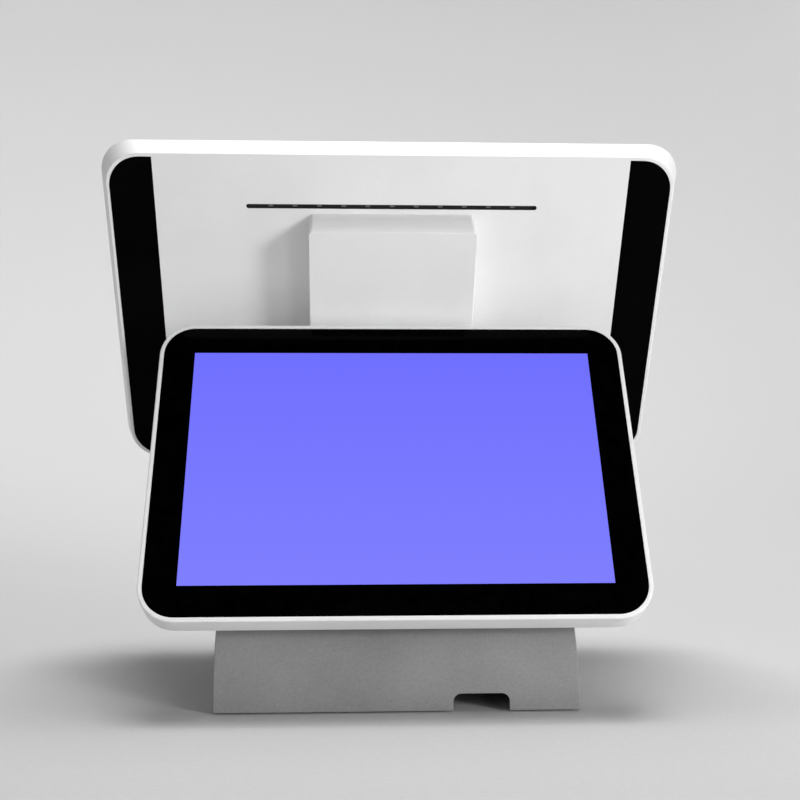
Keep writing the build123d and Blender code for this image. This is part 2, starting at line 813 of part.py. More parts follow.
# ---------------------------------------------------------------- pieces that both heads have
for head, cover, name in ((main, neck, "main"), (customer, customer_neck, "customer")):
    keep(cover_glass(head), f"{name}_glass")
    keep(glass_tape(head), f"{name}_glass_tape")
    keep(display_panel(head), f"{name}_display")
    keep(front_frame(head), f"{name}_front_frame")
    keep(chassis(head), f"{name}_chassis")
    keep(head_screws(head, cover), f"{name}_screws")
    keep(hinge_cover(head, cover), f"{name}_hinge_cover")
    keep(hinge_bracket(head), f"{name}_hinge_bracket")
    keep(bracket_bolts(head), f"{name}_bracket_bolts")
    keep(tilt_shaft(head), f"{name}_tilt_shaft")
    keep(tilt_washers(head), f"{name}_tilt_washers")
    keep(tilt_nuts(head), f"{name}_tilt_nuts")


# ---------------------------------------------------------------- base
def base_outline(inset):
    """Side view of the base: quarter-round front, flat top, upright back; open below when drawn in."""
    with BuildLine() as edge:
        curve = JernArc((front_y + inset, base_lift), (0, 1), base_curve - inset, -90)
        Polyline(curve @ 1, (rear_y - inset, base_top - inset), (rear_y - inset, base_lift), curve @ 0)
    face = make_face(edge.edges())
    fillet(face.vertices().group_by(Axis.Y)[-1].sort_by(Axis.X)[-1], base_back_edge - inset)


def roof(y):
    """Height of the base's outer surface at y."""
    ahead = max(0, front_y + base_curve - y)
    return base_lift + sqrt(base_curve**2 - ahead**2)


shell_spots = [
    (side * (base_width / 2 - post_inset), y)
    for side in (-1, 1)
    for y in (front_y + post_inset, rear_y - post_inset)
]
foot_spots = [
    (side * (base_width / 2 - foot_inset), y)
    for side in (-1, 1)
    for y in (front_y + foot_inset, rear_y - foot_inset)
]
shelf_low = shelf_top - shelf_thick
column_face = main.axis_at.Y - web  # front of the column's casting
shelf_spots = both_sides(shelf_bolt, [shelf_low + (shelf_flange + shelf_thick) / 2])

with BuildPart() as base_block:
    with BuildSketch(Plane.YZ.offset(-base_width / 2)):
        base_outline(0)
    extrude(amount=base_width)

with BuildPart() as base_shell:
    add(base_block.part)
    ends = base_shell.faces().filter_by(Axis.X)
    fillet(ends.edges() - base_shell.faces().sort_by(Axis.Z)[0].edges(), soft_edge)
    with BuildSketch(Plane.YZ.offset(base_wall - base_width / 2)):
        base_outline(base_wall)
    extrude(amount=base_width - 2 * base_wall, mode=Mode.SUBTRACT)
    for x, y in shell_spots:
        with BuildSketch(Plane.XY.offset(floor_top)):
            with Locations((x, y)):
                Circle(screw + 2 * boss_wall)
        extrude(amount=roof(y - screw - 2 * boss_wall) - base_wall / 2 - floor_top)
    holes(Plane.XY.offset(floor_top), shell_spots, screw, screw_length)
    # cable notch in the front wall, open at the lower edge
    with BuildSketch(Plane.XZ.offset(-front_y - notch_height)) as notch:
        with Locations((notch_x, base_lift)):
            Rectangle(notch_width, notch_height, align=(Align.CENTER, Align.MIN))
        fillet(notch.vertices().group_by(Axis.Y)[-1], notch_corner)
    extrude(amount=2 * notch_height, mode=Mode.SUBTRACT)
    # ways for the castings through the top
    for head in (main, customer):
        with BuildSketch(Plane.XY.offset(shelf_top)):
            with Locations((0, head.axis_at.Y)):
                Rectangle(web_width + 2 * clear_gap, 2 * (web + clear_gap))
        extrude(amount=base_top, mode=Mode.SUBTRACT)
keep(base_shell.part, "base_shell")

io_y = datum + bay_rear + sheet + clear_gap  # front edge of the port board
io_middle = (io_x, io_y + io_board[1] / 2)
io_spots = corners(io_middle, (io_board[0] / 2 - board_inset, io_board[1] / 2 - board_inset))
flange_spots = [(io_x + side * (io_board[0] / 2 + io_flange / 2), io_y + io_flange / 2) for side in (-1, 1)]
arm_middle = main.axis_at.Y + arm_ahead
arm_spots = corners((0, arm_middle), arm_bolts)

with BuildPart() as base_plate:
    low_y = front_y + base_wall + clear_gap / 2
    high_y = rear_y - base_wall - clear_gap / 2
    plate_width = base_width - 2 * base_wall - clear_gap
    with BuildSketch(Plane.XY.offset(floor_lift)):
        with Locations((0, low_y)):
            Rectangle(plate_width, high_y - low_y, align=(Align.CENTER, Align.MIN))
        with Locations((bay_left, datum + bay_front)):
            Rectangle(bay_right - bay_left, bay_rear - bay_front, align=Align.MIN, mode=Mode.SUBTRACT)
        with Locations((notch_x + notch_width / 2 + notch_room, low_y)):
            # way from the bay to the notch in the shell
            way_out = (notch_width + 2 * notch_room, datum + bay_front - low_y)
            Rectangle(*way_out, align=(Align.MAX, Align.MIN), mode=Mode.SUBTRACT)
    extrude(amount=floor_plate)
    with BuildSketch(Plane.XY.offset(floor_top)):
        with Locations(*io_spots):
            Circle(screw + boss_wall)
    extrude(amount=io_standoff)
    holes(Plane.XY.offset(floor_lift), io_spots, screw, floor_plate + io_standoff)
    holes(Plane.XY.offset(floor_lift), arm_spots, bolt, floor_plate)
    holes(Plane.XY.offset(floor_lift), shell_spots, screw, floor_plate)
    holes(Plane.XY.offset(floor_lift), shell_spots, screw_head + seat_gap, screw_head_height)
    holes(Plane.XY.offset(floor_lift), flange_spots, screw, floor_plate)
keep(base_plate.part, "base_plate")

with BuildPart() as rubber_feet:
    with BuildSketch(Plane.XY):
        with Locations(*foot_spots):
            Circle(foot_radius)
    extrude(amount=floor_lift)
    chamfer(rubber_feet.faces().sort_by(Axis.Z)[0:4].edges(), glass_edge)
keep(rubber_feet.part, "rubber_feet")


# ---------------------------------------------------------------- column and pedestal
def barrel_on(head, low):
    """Casting's web from height low up to the hinge, and its barrel; the bore is cut by barrel_bore."""
    with BuildPart() as core:
        with BuildSketch(Plane.XY.offset(low)):
            with Locations((0, head.axis_at.Y)):
                Rectangle(web_width, 2 * web)
        extrude(amount=head.axis_at.Z - low)
        with BuildSketch(on_axis(head, -barrel_half)):
            Circle(barrel)
        extrude(amount=2 * barrel_half)
        with BuildSketch(on_axis(head, -barrel_half)):
            Circle(bush)
        extrude(amount=2 * barrel_half, mode=Mode.SUBTRACT)
    return core.part


def cover_screws(head, drops):
    """Spots of a post cover's screws, on an upright plane across the post."""
    return [(0, head.axis_at.Z - drop) for drop in drops]


with BuildPart() as column_arm:
    add(barrel_on(main, floor_top))
    with BuildSketch(Plane.XY.offset(floor_top)):
        with Locations((0, arm_middle)):
            RectangleRounded(*arm_foot, knuckle / 2)
    extrude(amount=arm_foot_thick)
    with BuildSketch(Plane.YZ.offset(-arm_foot_thick / 2)):
        # rib that stiffens the foot, behind the web
        with BuildLine():
            foot_y = arm_middle + arm_foot[1] / 2
            Polyline(
                (main.axis_at.Y, floor_top),
                (foot_y, floor_top),
                (foot_y, floor_top + arm_foot_thick),
                (main.axis_at.Y + web, base_top - 2 * base_wall),
                (main.axis_at.Y, base_top - 2 * base_wall),
                close=True,
            )
        make_face()
    extrude(amount=arm_foot_thick)
    holes(Plane.XY.offset(floor_top), arm_spots, bolt, arm_foot_thick)
    back_of_web = Plane.XZ.offset(-main.axis_at.Y - web)
    holes(back_of_web, cover_screws(main, column_screws), screw, 2 * web)
    holes(Plane.XZ.offset(-column_face), shelf_spots, bolt, -2 * web)
keep(column_arm.part, "column_arm")

with BuildPart() as customer_bracket:
    add(barrel_on(customer, shelf_low))
    with BuildSketch(Plane.XY.offset(shelf_low)):
        with Locations((0, customer.axis_at.Y)):
            Rectangle(web_width, column_face - customer.axis_at.Y, align=(Align.CENTER, Align.MIN))
    extrude(amount=shelf_thick)
    with BuildSketch(Plane.XZ.offset(-column_face)):
        with Locations((0, shelf_low)):
            Rectangle(web_width, shelf_flange, align=(Align.CENTER, Align.MIN))
    extrude(amount=shelf_thick)
    holes(Plane.XZ.offset(-column_face), shelf_spots, bolt, shelf_thick)
    holes(Plane.XZ.offset(-customer.axis_at.Y - web), cover_screws(customer, pedestal_screws), screw, 2 * web)
keep(customer_bracket.part, "customer_bracket")

with BuildPart() as tilt_bushes:
    for head in (main, customer):
        rings(head, barrel_half - bush_length, bush_length, bush, shaft + run_gap)
keep(tilt_bushes.part, "tilt_bushes")


def post_cover(head, drops, way):
    """Half of a post's cover: the front half for way -1, and the rear half, which is screwed on, for 1."""
    seam = Plane.XZ.offset(-head.axis_at.Y)
    spots = cover_screws(head, drops)
    with BuildPart() as seats:
        with BuildSketch(seam.offset(-way * web)):
            with Locations(*spots):
                Circle(cover_boss)
        extrude(amount=-way * post_width)
        add(post_block(head, 0), mode=Mode.INTERSECT)
    with BuildPart() as cover:
        add(post_block(head, 0))
        fillet(cover.faces().filter_by(Axis.X).edges() - cover.faces().sort_by(Axis.Z)[0].edges(), soft_edge)
        add(post_block(head, wall), mode=Mode.SUBTRACT)
        with BuildSketch(on_axis(head, -post_width)):
            Circle(barrel + seat_gap)
        extrude(amount=2 * post_width, mode=Mode.SUBTRACT)
        add(seats.part)
        add(base_block.part, mode=Mode.SUBTRACT)
        split(bisect_by=seam, keep=Keep.TOP if way < 0 else Keep.BOTTOM)
        if way > 0:
            holes(seam.offset(-web), spots, screw, -cover_seat)
            holes(seam.offset(-web - cover_seat), spots, screw_head + seat_gap, -post_width)
    return cover.part


posts = ((main, column_screws, "column"), (customer, pedestal_screws, "pedestal"))
for head, drops, name in posts:
    keep(post_cover(head, drops, -1), f"{name}_front_cover")
    keep(post_cover(head, drops, 1), f"{name}_rear_cover")

with BuildPart() as stand_bolts:
    bolts(Plane.XY.offset(floor_top + arm_foot_thick), arm_spots, arm_foot_thick + floor_plate, -1)
    bolts(Plane.XZ.offset(shelf_thick - column_face), shelf_spots, shelf_thick + web, -1)
keep(stand_bolts.part, "stand_bolts")

# ---------------------------------------------------------------- ports
io_top = floor_top + io_standoff + board
port_face = Plane.XZ.offset(-datum - bay_rear)  # front of the port panel


def port_boxes():
    """Each socket's outline on the panel: x, width and height."""
    singles = ((jack_x, jack_size), (lan_x, lan_size)) + tuple((x, usb_size) for x in usb_x)
    return [(x, size[0], size[2]) for x, size in singles]


with BuildPart() as port_panel:
    with BuildSketch(port_face):
        with Locations((io_x, floor_top)):
            Rectangle(io_board[0] + 2 * io_flange, io_height, align=(Align.CENTER, Align.MIN))
        for x, wide, high in port_boxes():
            with Locations((x, io_top)):
                Rectangle(wide + 2 * seat_gap, 2 * (high + seat_gap), mode=Mode.SUBTRACT)
    extrude(amount=-sheet)
    with BuildSketch(Plane.XY.offset(floor_top)):
        with Locations(*flange_spots):
            Rectangle(io_flange, io_flange + 2 * clear_gap)
    extrude(amount=sheet)
    holes(Plane.XY.offset(floor_top), flange_spots, screw, sheet)
keep(port_panel.part, "port_panel")

with BuildPart() as port_board:
    with BuildSketch(Plane.XY.offset(floor_top + io_standoff)):
        with Locations(io_middle):
            Rectangle(*io_board)
    extrude(amount=board)
    holes(Plane.XY.offset(floor_top + io_standoff), io_spots, screw, board)
keep(port_board.part, "port_board")


def socket_body(x, size):
    with BuildSketch(port_face) as outline:
        with Locations((x, io_top)):
            Rectangle(size[0], size[2], align=(Align.CENTER, Align.MIN))
    extrude(outline.sketch, amount=-size[1])


with BuildPart() as power_socket:
    socket_body(jack_x, jack_size)
    holes(port_face, [(jack_x, io_top + jack_size[2] / 2)], jack_bore, -jack_deep)
    with BuildSketch(port_face.offset(-jack_deep)):
        with Locations((jack_x, io_top + jack_size[2] / 2)):
            Circle(jack_pin)
    extrude(amount=jack_deep - clear_gap)
keep(power_socket.part, "power_socket")

with BuildPart() as usb_sockets:
    mouths = [(x, io_top + usb_size[2] / 2 + side * usb_pitch / 2) for x in usb_x for side in (-1, 1)]
    for x in usb_x:
        socket_body(x, usb_size)
    with BuildSketch(port_face):
        with Locations(*mouths):
            Rectangle(*usb_mouth)
    extrude(amount=-usb_deep, mode=Mode.SUBTRACT)
    with BuildSketch(port_face.offset(-usb_deep)):
        with Locations(*[(x, z + usb_mouth[1] / 2 - usb_tongue) for x, z in mouths]):
            Rectangle(usb_mouth[0] - 2 * clear_gap, usb_tongue)
    extrude(amount=usb_deep - clear_gap)
keep(usb_sockets.part, "usb_sockets")

with BuildPart() as network_socket:
    socket_body(lan_x, lan_size)
    with BuildSketch(port_face):
        with Locations((lan_x, io_top + lan_size[2] / 2)):
            Rectangle(*lan_mouth)
    extrude(amount=-lan_deep, mode=Mode.SUBTRACT)
keep(network_socket.part, "network_socket")

with BuildPart() as stand_screws:
    screws(Plane.XY.offset(io_top + screw_head_height), io_spots, -1)
    screws(Plane.XY.offset(floor_top + sheet + screw_head_height), flange_spots, -1)
    screws(Plane.XY.offset(floor_lift), shell_spots)
    for head, drops, name in posts:
        seat = Plane.XZ.offset(-head.axis_at.Y - web - cover_seat - screw_head_height)
        screws(seat, cover_screws(head, drops))
keep(stand_screws.part, "stand_screws")
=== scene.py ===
import bmesh
import bpy
import json
import math
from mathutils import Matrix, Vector


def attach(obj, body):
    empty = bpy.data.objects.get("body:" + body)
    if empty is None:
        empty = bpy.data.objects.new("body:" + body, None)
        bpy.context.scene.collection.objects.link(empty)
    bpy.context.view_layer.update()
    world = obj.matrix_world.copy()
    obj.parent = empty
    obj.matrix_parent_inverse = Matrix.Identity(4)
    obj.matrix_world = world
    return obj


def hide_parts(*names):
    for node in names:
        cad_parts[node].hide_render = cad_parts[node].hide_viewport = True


# Two-screen till terminal: finishes, cover glasses, feet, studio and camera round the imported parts.

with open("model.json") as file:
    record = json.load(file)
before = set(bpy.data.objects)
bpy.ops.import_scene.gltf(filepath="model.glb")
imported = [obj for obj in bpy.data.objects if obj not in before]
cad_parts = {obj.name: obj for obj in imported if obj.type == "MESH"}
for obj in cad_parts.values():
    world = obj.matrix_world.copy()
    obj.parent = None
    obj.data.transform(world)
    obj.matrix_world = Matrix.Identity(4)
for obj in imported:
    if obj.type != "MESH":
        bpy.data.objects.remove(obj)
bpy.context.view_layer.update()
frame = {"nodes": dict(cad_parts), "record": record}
nodes = frame["nodes"]
mm = 0.001

print("frame loaded:", len(nodes), "parts")


# measuring the frame
def reach(name, way):  # lowest and highest place of a part along a direction
    places = [vertex.co.dot(way) for vertex in nodes[name].data.vertices]
    return min(places), max(places)


def headFrame(name, facing):  # a head's directions, from the largest flat face of its display module
    largest = max(nodes[name + "_display"].data.polygons, key=lambda polygon: polygon.area)
    out = Vector((0, facing * abs(largest.normal.y), abs(largest.normal.z))).normalized()
    up = Vector((0, -facing * out.z, abs(out.y)))
    return {"up": up, "out": out, "across": up.cross(out)}


# materials
def linear(code):  # sRGB hex to linear colour
    parts = [int(code[i:i + 2], 16) / 255 for i in (1, 3, 5)]
    return tuple(p / 12.92 if p <= 0.04045 else ((p + 0.055) / 1.055) ** 2.4 for p in parts) + (1.0,)


def addNode(tree, kind, settings=None, links=None):
    node = tree.nodes.new(kind)
    for key, value in (settings or {}).items():
        if isinstance(key, str) and hasattr(node, key):
            setattr(node, key, value)
        else:
            node.inputs[key].default_value = value
    for key, source in (links or {}).items():
        tree.links.new(source, node.inputs[key])
    return node


def newMaterial(name, settings):  # a shader with its fixed numbers, and the object's own coordinates
    material = bpy.data.materials.new(name)
    material.use_nodes = True
    tree = material.node_tree
    tree.nodes.clear()
    shader = addNode(tree, "ShaderNodeBsdfPrincipled", settings)
    addNode(tree, "ShaderNodeOutputMaterial", {}, {"Surface": shader.outputs[0]})
    where = addNode(tree, "ShaderNodeTexCoord").outputs["Object"]
    return material, tree, shader, where


def colourRange(tree, source, low, high, ends=(0.3, 0.7)):  # two hex colours over a pattern's range
    ramp = addNode(tree, "ShaderNodeValToRGB", {}, {0: source})
    for element, place, code in zip(ramp.color_ramp.elements, ends, (low, high)):
        element.position = place
        element.color = linear(code)
    return ramp.outputs[0]


def spread(tree, source, low, high):  # a pattern's 0 to 1 stretched between two numbers
    return addNode(tree, "ShaderNodeMapRange", {"To Min": low, "To Max": high}, {0: source}).outputs[0]


def bumpFrom(tree, shader, height, depthMm):
    bump = addNode(tree, "ShaderNodeBump", {"Distance": depthMm * mm, "Strength": 1.0}, {"Height": height})
    tree.links.new(bump.outputs[0], shader.inputs["Normal"])


def distanceAlong(tree, where, way):  # how far a point lies along a direction
    settings = {"operation": "DOT_PRODUCT", 1: way}
    return addNode(tree, "ShaderNodeVectorMath", settings, {0: where}).outputs["Value"]


def noiseAt(tree, where, grainMm, detail=2.0, rough=0.5):
    settings = {"Scale": 1 / (grainMm * mm), "Detail": detail, "Roughness": rough}
    return addNode(tree, "ShaderNodeTexNoise", settings, {"Vector": where}).outputs[0]


def mouldedAbs(name, pale, dark, roughness, grainMm, grainDepth):
    # plastic from a spark-eroded mould: a slight cloudiness, and an even grain that softens the highlights;
    # the grain is drawn coarser than a real mould's, so that it shows
    material, tree, shader, where = newMaterial(name, {"IOR": 1.53})
    cloud = noiseAt(tree, where, grainMm=60, detail=3.0)
    grain = noiseAt(tree, where, grainMm, detail=4.0, rough=0.6)
    tone = addNode(tree, "ShaderNodeMix", {"data_type": "FLOAT", 0: 0.5}, {2: cloud, 3: grain}).outputs[0]
    tree.links.new(colourRange(tree, tone, dark, pale, (0.36, 0.62)), shader.inputs["Base Color"])
    tree.links.new(spread(tree, grain, roughness - 0.06, roughness + 0.06), shader.inputs["Roughness"])
    bumpFrom(tree, shader, grain, grainDepth)
    return material


slotSizes = {  # millimetres
    "halfHeight": 1.6,
    "edge": 0.25,
    "bridge": 0.55,
    "bridgeBlend": 0.11,
    "bridgeHalfShadeColour": "#6f6f6f",
    "recessShadeColour": "#060606",
}


def paintSlotShade(material, up, out, middle, face, half):
    # painted shade: the long slot's recess is painted black where it lies in shade, and the bridges across it
    # keep a grey middle, painted half-shade
    tree = material.node_tree
    shader = next(node for node in tree.nodes if node.type == "BSDF_PRINCIPLED")
    white = shader.inputs["Base Color"].links[0].from_socket
    where = addNode(tree, "ShaderNodeTexCoord").outputs["Object"]

    def reckon(operation, first, number=0.0, second=None):  # second is another output in the number's place
        links = {0: first} if second is None else {0: first, 1: second}
        return addNode(tree, "ShaderNodeMath", {"operation": operation, 1: number}, links).outputs[0]

    away = reckon("ABSOLUTE", reckon("SUBTRACT", distanceAlong(tree, where, up), middle))
    sideways = reckon("ABSOLUTE", distanceAlong(tree, where, up.cross(out)))
    inside = reckon("LESS_THAN", away, slotSizes["halfHeight"] * mm)
    sunk = reckon("GREATER_THAN", distanceAlong(tree, where, out), face + slotSizes["edge"] * mm)
    within = reckon("LESS_THAN", sideways, half)
    slotShadeMask = reckon("MULTIPLY", reckon("MULTIPLY", inside, second=sunk), second=within)
    ends = [(slotSizes["bridge"] + side * slotSizes["bridgeBlend"]) * mm for side in (-1, 1)]
    span = {"From Min": ends[0], "From Max": ends[1]}
    share = addNode(tree, "ShaderNodeMapRange", span, {0: away}).outputs[0]
    dark = colourRange(tree, share, slotSizes["bridgeHalfShadeColour"], slotSizes["recessShadeColour"], (0.0, 1.0))
    mixed = addNode(tree, "ShaderNodeMix", {"data_type": "RGBA"}, {0: slotShadeMask, 6: white, 7: dark}).outputs[2]
    tree.links.new(mixed, shader.inputs["Base Color"])


def printedGlass(name):
    # glass printed black on its back, with an anti-reflection coat: an even deep black that shows few lights
    settings = {"IOR": 1.52, "Specular IOR Level": 0.008, "Roughness": 0.08}
    material, tree, shader, where = newMaterial(name, settings)
    dust = noiseAt(tree, where, grainMm=9, detail=5.0)
    tree.links.new(colourRange(tree, dust, "#000000", "#030303"), shader.inputs["Base Color"])
    return material


def litPanel(name, low, high, bottom, top, up):
    # liquid crystal panel behind the glass, lit evenly and a little paler towards its lower edge
    settings = {"IOR": 1.52, "Specular IOR Level": 0.008, "Roughness": 0.08, "Emission Strength": 1.0}
    settings["Base Color"] = linear("#000000")
    material, tree, shader, where = newMaterial(name, settings)
    span = {"From Min": bottom, "From Max": top}
    share = addNode(tree, "ShaderNodeMapRange", span, {0: distanceAlong(tree, where, up)}).outputs[0]
    glow = colourRange(tree, share, low, high, (0.0, 1.0))
    tree.links.new(glow, shader.inputs["Emission Color"])
    return material


def blackAcrylic(name):
    # side panels: black acrylic, satin from its mould, with the faint waviness of a cast sheet
    settings = {"IOR": 1.49, "Specular IOR Level": 0.02, "Roughness": 0.3}
    material, tree, shader, where = newMaterial(name, settings)
    wave = noiseAt(tree, where, grainMm=35)
    tree.links.new(colourRange(tree, wave, "#010101", "#040404"), shader.inputs["Base Color"])
    bumpFrom(tree, shader, wave, depthMm=0.02)
    return material


def brushedSteel(name, pale, dark, roughness, grainMm=0.25):
    # rolled, plated or extruded metal: long fine marks along X
    material, tree, shader, where = newMaterial(name, {"Metallic": 1.0})
    long = addNode(tree, "ShaderNodeMapping", {"Scale": (0.04, 1, 1)}, {"Vector": where}).outputs[0]
    marks = noiseAt(tree, long, grainMm, detail=3.0)
    tree.links.new(colourRange(tree, marks, dark, pale), shader.inputs["Base Color"])
    tree.links.new(spread(tree, marks, roughness - 0.08, roughness + 0.08), shader.inputs["Roughness"])
    bumpFrom(tree, shader, marks, depthMm=0.01)
    return material


def castMetal(name, pale, dark, roughness, grainMm, depth):
    # casting or sintered metal: a matt skin of small pits
    material, tree, shader, where = newMaterial(name, {"Metallic": 1.0})
    pits = addNode(tree, "ShaderNodeTexVoronoi", {"Scale": 1 / (grainMm * mm)}, {"Vector": where}).outputs[0]
    tree.links.new(colourRange(tree, pits, dark, pale, (0.0, 0.6)), shader.inputs["Base Color"])
    tree.links.new(spread(tree, pits, roughness, roughness - 0.15), shader.inputs["Roughness"])
    bumpFrom(tree, shader, pits, depth)
    return material


def powderCoat(name, pale, dark):
    # powder-coated steel: a rounded orange-peel skin
    material, tree, shader, where = newMaterial(name, {"IOR": 1.5})
    peel = noiseAt(tree, where, grainMm=1.2)
    tree.links.new(colourRange(tree, peel, dark, pale), shader.inputs["Base Color"])
    tree.links.new(spread(tree, peel, 0.42, 0.56), shader.inputs["Roughness"])
    bumpFrom(tree, shader, peel, depthMm=0.06)
    return material


def solderMask(name):
    # green solder mask over copper tracks, with the glass weave of the board showing faintly
    material, tree, shader, where = newMaterial(name, {"IOR": 1.55, "Coat Weight": 0.3})
    settings = {"Scale": 1 / (1.27 * mm), "Mortar Size": 0.18, "Mortar": linear("#15552c")}
    settings.update({"Color1": linear("#0c3a1e"), "Color2": linear("#0b331b")})
    tracks = addNode(tree, "ShaderNodeTexBrick", settings, {"Vector": where}).outputs["Color"]
    tree.links.new(tracks, shader.inputs["Base Color"])
    weave = noiseAt(tree, where, grainMm=0.5, detail=1.0)
    tree.links.new(spread(tree, weave, 0.3, 0.45), shader.inputs["Roughness"])
    bumpFrom(tree, shader, weave, depthMm=0.02)
    return material


def softRubber(name, pale, dark, roughness, grainMm):
    # moulded rubber or foam: dull, with tiny pores and a faint bloom
    material, tree, shader, where = newMaterial(name, {"IOR": 1.5, "Specular IOR Level": 0.3})
    pores = noiseAt(tree, where, grainMm, detail=3.0)
    tree.links.new(colourRange(tree, pores, dark, pale), shader.inputs["Base Color"])
    tree.links.new(spread(tree, pores, roughness - 0.08, roughness + 0.08), shader.inputs["Roughness"])
    bumpFrom(tree, shader, pores, depthMm=0.05)
    return material


def wovenMesh(name):
    # polyester dust mesh: crossing waves, drawn coarser than the real 0.5 mm threads, so that they show
    material, tree, shader, where = newMaterial(name, {"IOR": 1.5})
    threadMm = math.pi
    scale = 2 * math.pi / (20 * threadMm * mm)  # a wave of scale 1 repeats 20 times in 2 pi metres
    threads = []
    for way in ("X", "Y"):
        wave = addNode(tree, "ShaderNodeTexWave", {"bands_direction": way, "Scale": scale}, {"Vector": where})
        threads.append(wave.outputs[1])
    links = {0: threads[0], 1: threads[1]}
    weave = addNode(tree, "ShaderNodeMath", {"operation": "MAXIMUM"}, links).outputs[0]
    tree.links.new(colourRange(tree, weave, "#050505", "#1a1a1b"), shader.inputs["Base Color"])
    tree.links.new(spread(tree, weave, 0.6, 0.8), shader.inputs["Roughness"])
    bumpFrom(tree, shader, weave, depthMm=0.1)
    return material


whiteAbs = ("#fafafa", "#f2f2f2", 0.5, 0.7, 0.02)
finishes = {
    "white_plastic": mouldedAbs("mouldedWhiteAbs", *whiteAbs),
    "grey_plastic": mouldedAbs("mouldedGreyAbs", "#989898", "#868686", 0.55, 1.3, 0.06),
    "black_panel": blackAcrylic("blackAcrylic"),
    "black_glass": printedGlass("printedBlackGlass"),
    "display_module": brushedSteel("platedPanelEdge", "#c9cacc", "#a9abae", 0.35),
    "foam_tape": softRubber("blackFoamTape", "#1a1a1a", "#0c0c0c", 0.9, 0.4),
    "steel_sheet": brushedSteel("zincPlatedSheet", "#c4c6c8", "#9fa2a5", 0.38),
    "steel_fasteners": brushedSteel("platedSteelScrews", "#b0b2b4", "#85888b", 0.3, 0.12),
    "aluminium_casting": castMetal("pressureCastAluminium", "#c3c5c7", "#9b9ea1", 0.55, 0.8, 0.05),
    "aluminium_fins": brushedSteel("extrudedAluminium", "#d6d8da", "#b5b8bb", 0.32),
    "bronze_bush": castMetal("sinteredBronze", "#a8794a", "#6e4a28", 0.5, 0.3, 0.03),
    "circuit_board": solderMask("greenSolderMask"),
    "black_plastic": mouldedAbs("mouldedBlackNylon", "#1a1a1b", "#101011", 0.5, 0.5, 0.02),
    "rubber_foot": softRubber("mouldedBlackRubber", "#1c1c1c", "#111111", 0.75, 0.5),
    "vent_mesh": wovenMesh("wovenDustMesh"),
    "base_paint": powderCoat("blackPowderCoat", "#2a2a2b", "#1c1c1d"),
}


def whiteAbsWithPaintedSlotShade():  # the operator's rear cover: the same white, with painted shade blackening its long slot
    material = mouldedAbs("mouldedWhiteAbsPaintedSlotShade", *whiteAbs)
    ways = headFrame("main", 1)
    slotLow, slotHigh = reach("vent_mesh", ways["up"])
    backFace = reach("main_rear_cover", ways["out"])[0]
    slotEnd = reach("vent_mesh", ways["across"])[1]
    paintSlotShade(material, ways["up"], ways["out"], (slotLow + slotHigh) / 2, backFace, slotEnd)
    return material


def giveFinish(name, material):
    for holder in nodes[name].material_slots:
        holder.material = material


for row in frame["record"]["subparts"]:
    giveFinish(row["node"], finishes[row["material_slot"]])
# painted shade: the base shell, white plastic in the part list, gets the grey moulding, which stands in for
# the shade it lies in under the customer's head
giveFinish("base_shell", finishes["grey_plastic"])
giveFinish("main_rear_cover", whiteAbsWithPaintedSlotShade())
print("finishes on the packed parts")


# mesh helpers
quarters = ((1, 1), (-1, 1), (-1, -1), (1, -1))  # the signs of a rectangle's corners, anticlockwise


def roundedRing(width, height, radius, steps=14):  # points of a rounded rectangle, anticlockwise
    points = []
    for corner, (sideX, sideY) in enumerate(quarters):
        for i in range(steps + 1):
            angle = math.radians(90 * (corner + i / steps))
            x = sideX * (width / 2 - radius) + radius * math.cos(angle)
            y = sideY * (height / 2 - radius) + radius * math.sin(angle)
            points.append((x, y))
    return points


def turnedRings(work, profile, segments, middle=(0, 0, 0)):  # rings of (radius, height) round an upright axis
    turns = [2 * math.pi * i / segments for i in range(segments)]
    rings = []
    for radius, height in profile:
        ring = [Vector((radius * math.cos(turn), radius * math.sin(turn), height)) for turn in turns]
        rings.append([work.verts.new(Vector(middle) + point) for point in ring])
    return rings


def joinRings(work, rings):  # walls between each ring and the next
    for lower, upper in zip(rings, rings[1:]):
        for i in range(len(lower)):
            j = (i + 1) % len(lower)
            work.faces.new((lower[i], lower[j], upper[j], upper[i]))


def finishMesh(name, work, materials):
    bmesh.ops.recalc_face_normals(work, faces=work.faces)
    mesh = bpy.data.meshes.new(name)
    work.to_mesh(mesh)
    work.free()
    for polygon in mesh.polygons:
        polygon.use_smooth = True
    for material in materials:
        mesh.materials.append(material)
    return mesh


def linkObject(name, data):
    holder = bpy.data.objects.new(name, data)
    bpy.context.scene.collection.objects.link(holder)
    return holder


def newPiece(name, mesh, body, replaced, sharpAngle=35):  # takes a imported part's place on a body
    mesh.set_sharp_from_angle(angle=math.radians(sharpAngle))
    piece = linkObject(name, mesh)
    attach(piece, body)
    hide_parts(replaced)
    return piece


# the cover glasses
glassSizes = {  # millimetres
    "corner": 19.95,
    "edgeRound": 0.35,
    "edgeSteps": 3,
    "main": {"lit": (344.2, 193.6), "facing": 1},
    "customer": {"lit": (261.1, 163.2), "facing": -1},
}
litColours = {"top": "#7070ff", "bottom": "#7f7fff"}


def paneProfile(back, front):  # inset and depth of each ring, from the chamfered back to the rounded front
    edge = glassSizes["edgeRound"] * mm
    profile = [(edge / 2, back), (0, back + edge / 2), (0, front - edge)]
    for i in range(1, glassSizes["edgeSteps"] + 1):
        angle = math.radians(90 * i / glassSizes["edgeSteps"])
        profile.append((edge * (1 - math.cos(angle)), front - edge * (1 - math.sin(angle))))
    return profile


def printedBorder(work, rim, window):  # a fan at each corner of the window and a strip along each side
    steps = len(rim) // 4
    for side in range(4):
        start = side * steps
        for i in range(start, start + steps - 1):
            work.faces.new((rim[i], rim[i + 1], window[side]))
        following = (start + steps) % len(rim)
        work.faces.new((rim[start + steps - 1], rim[following], window[(side + 1) % 4], window[side]))


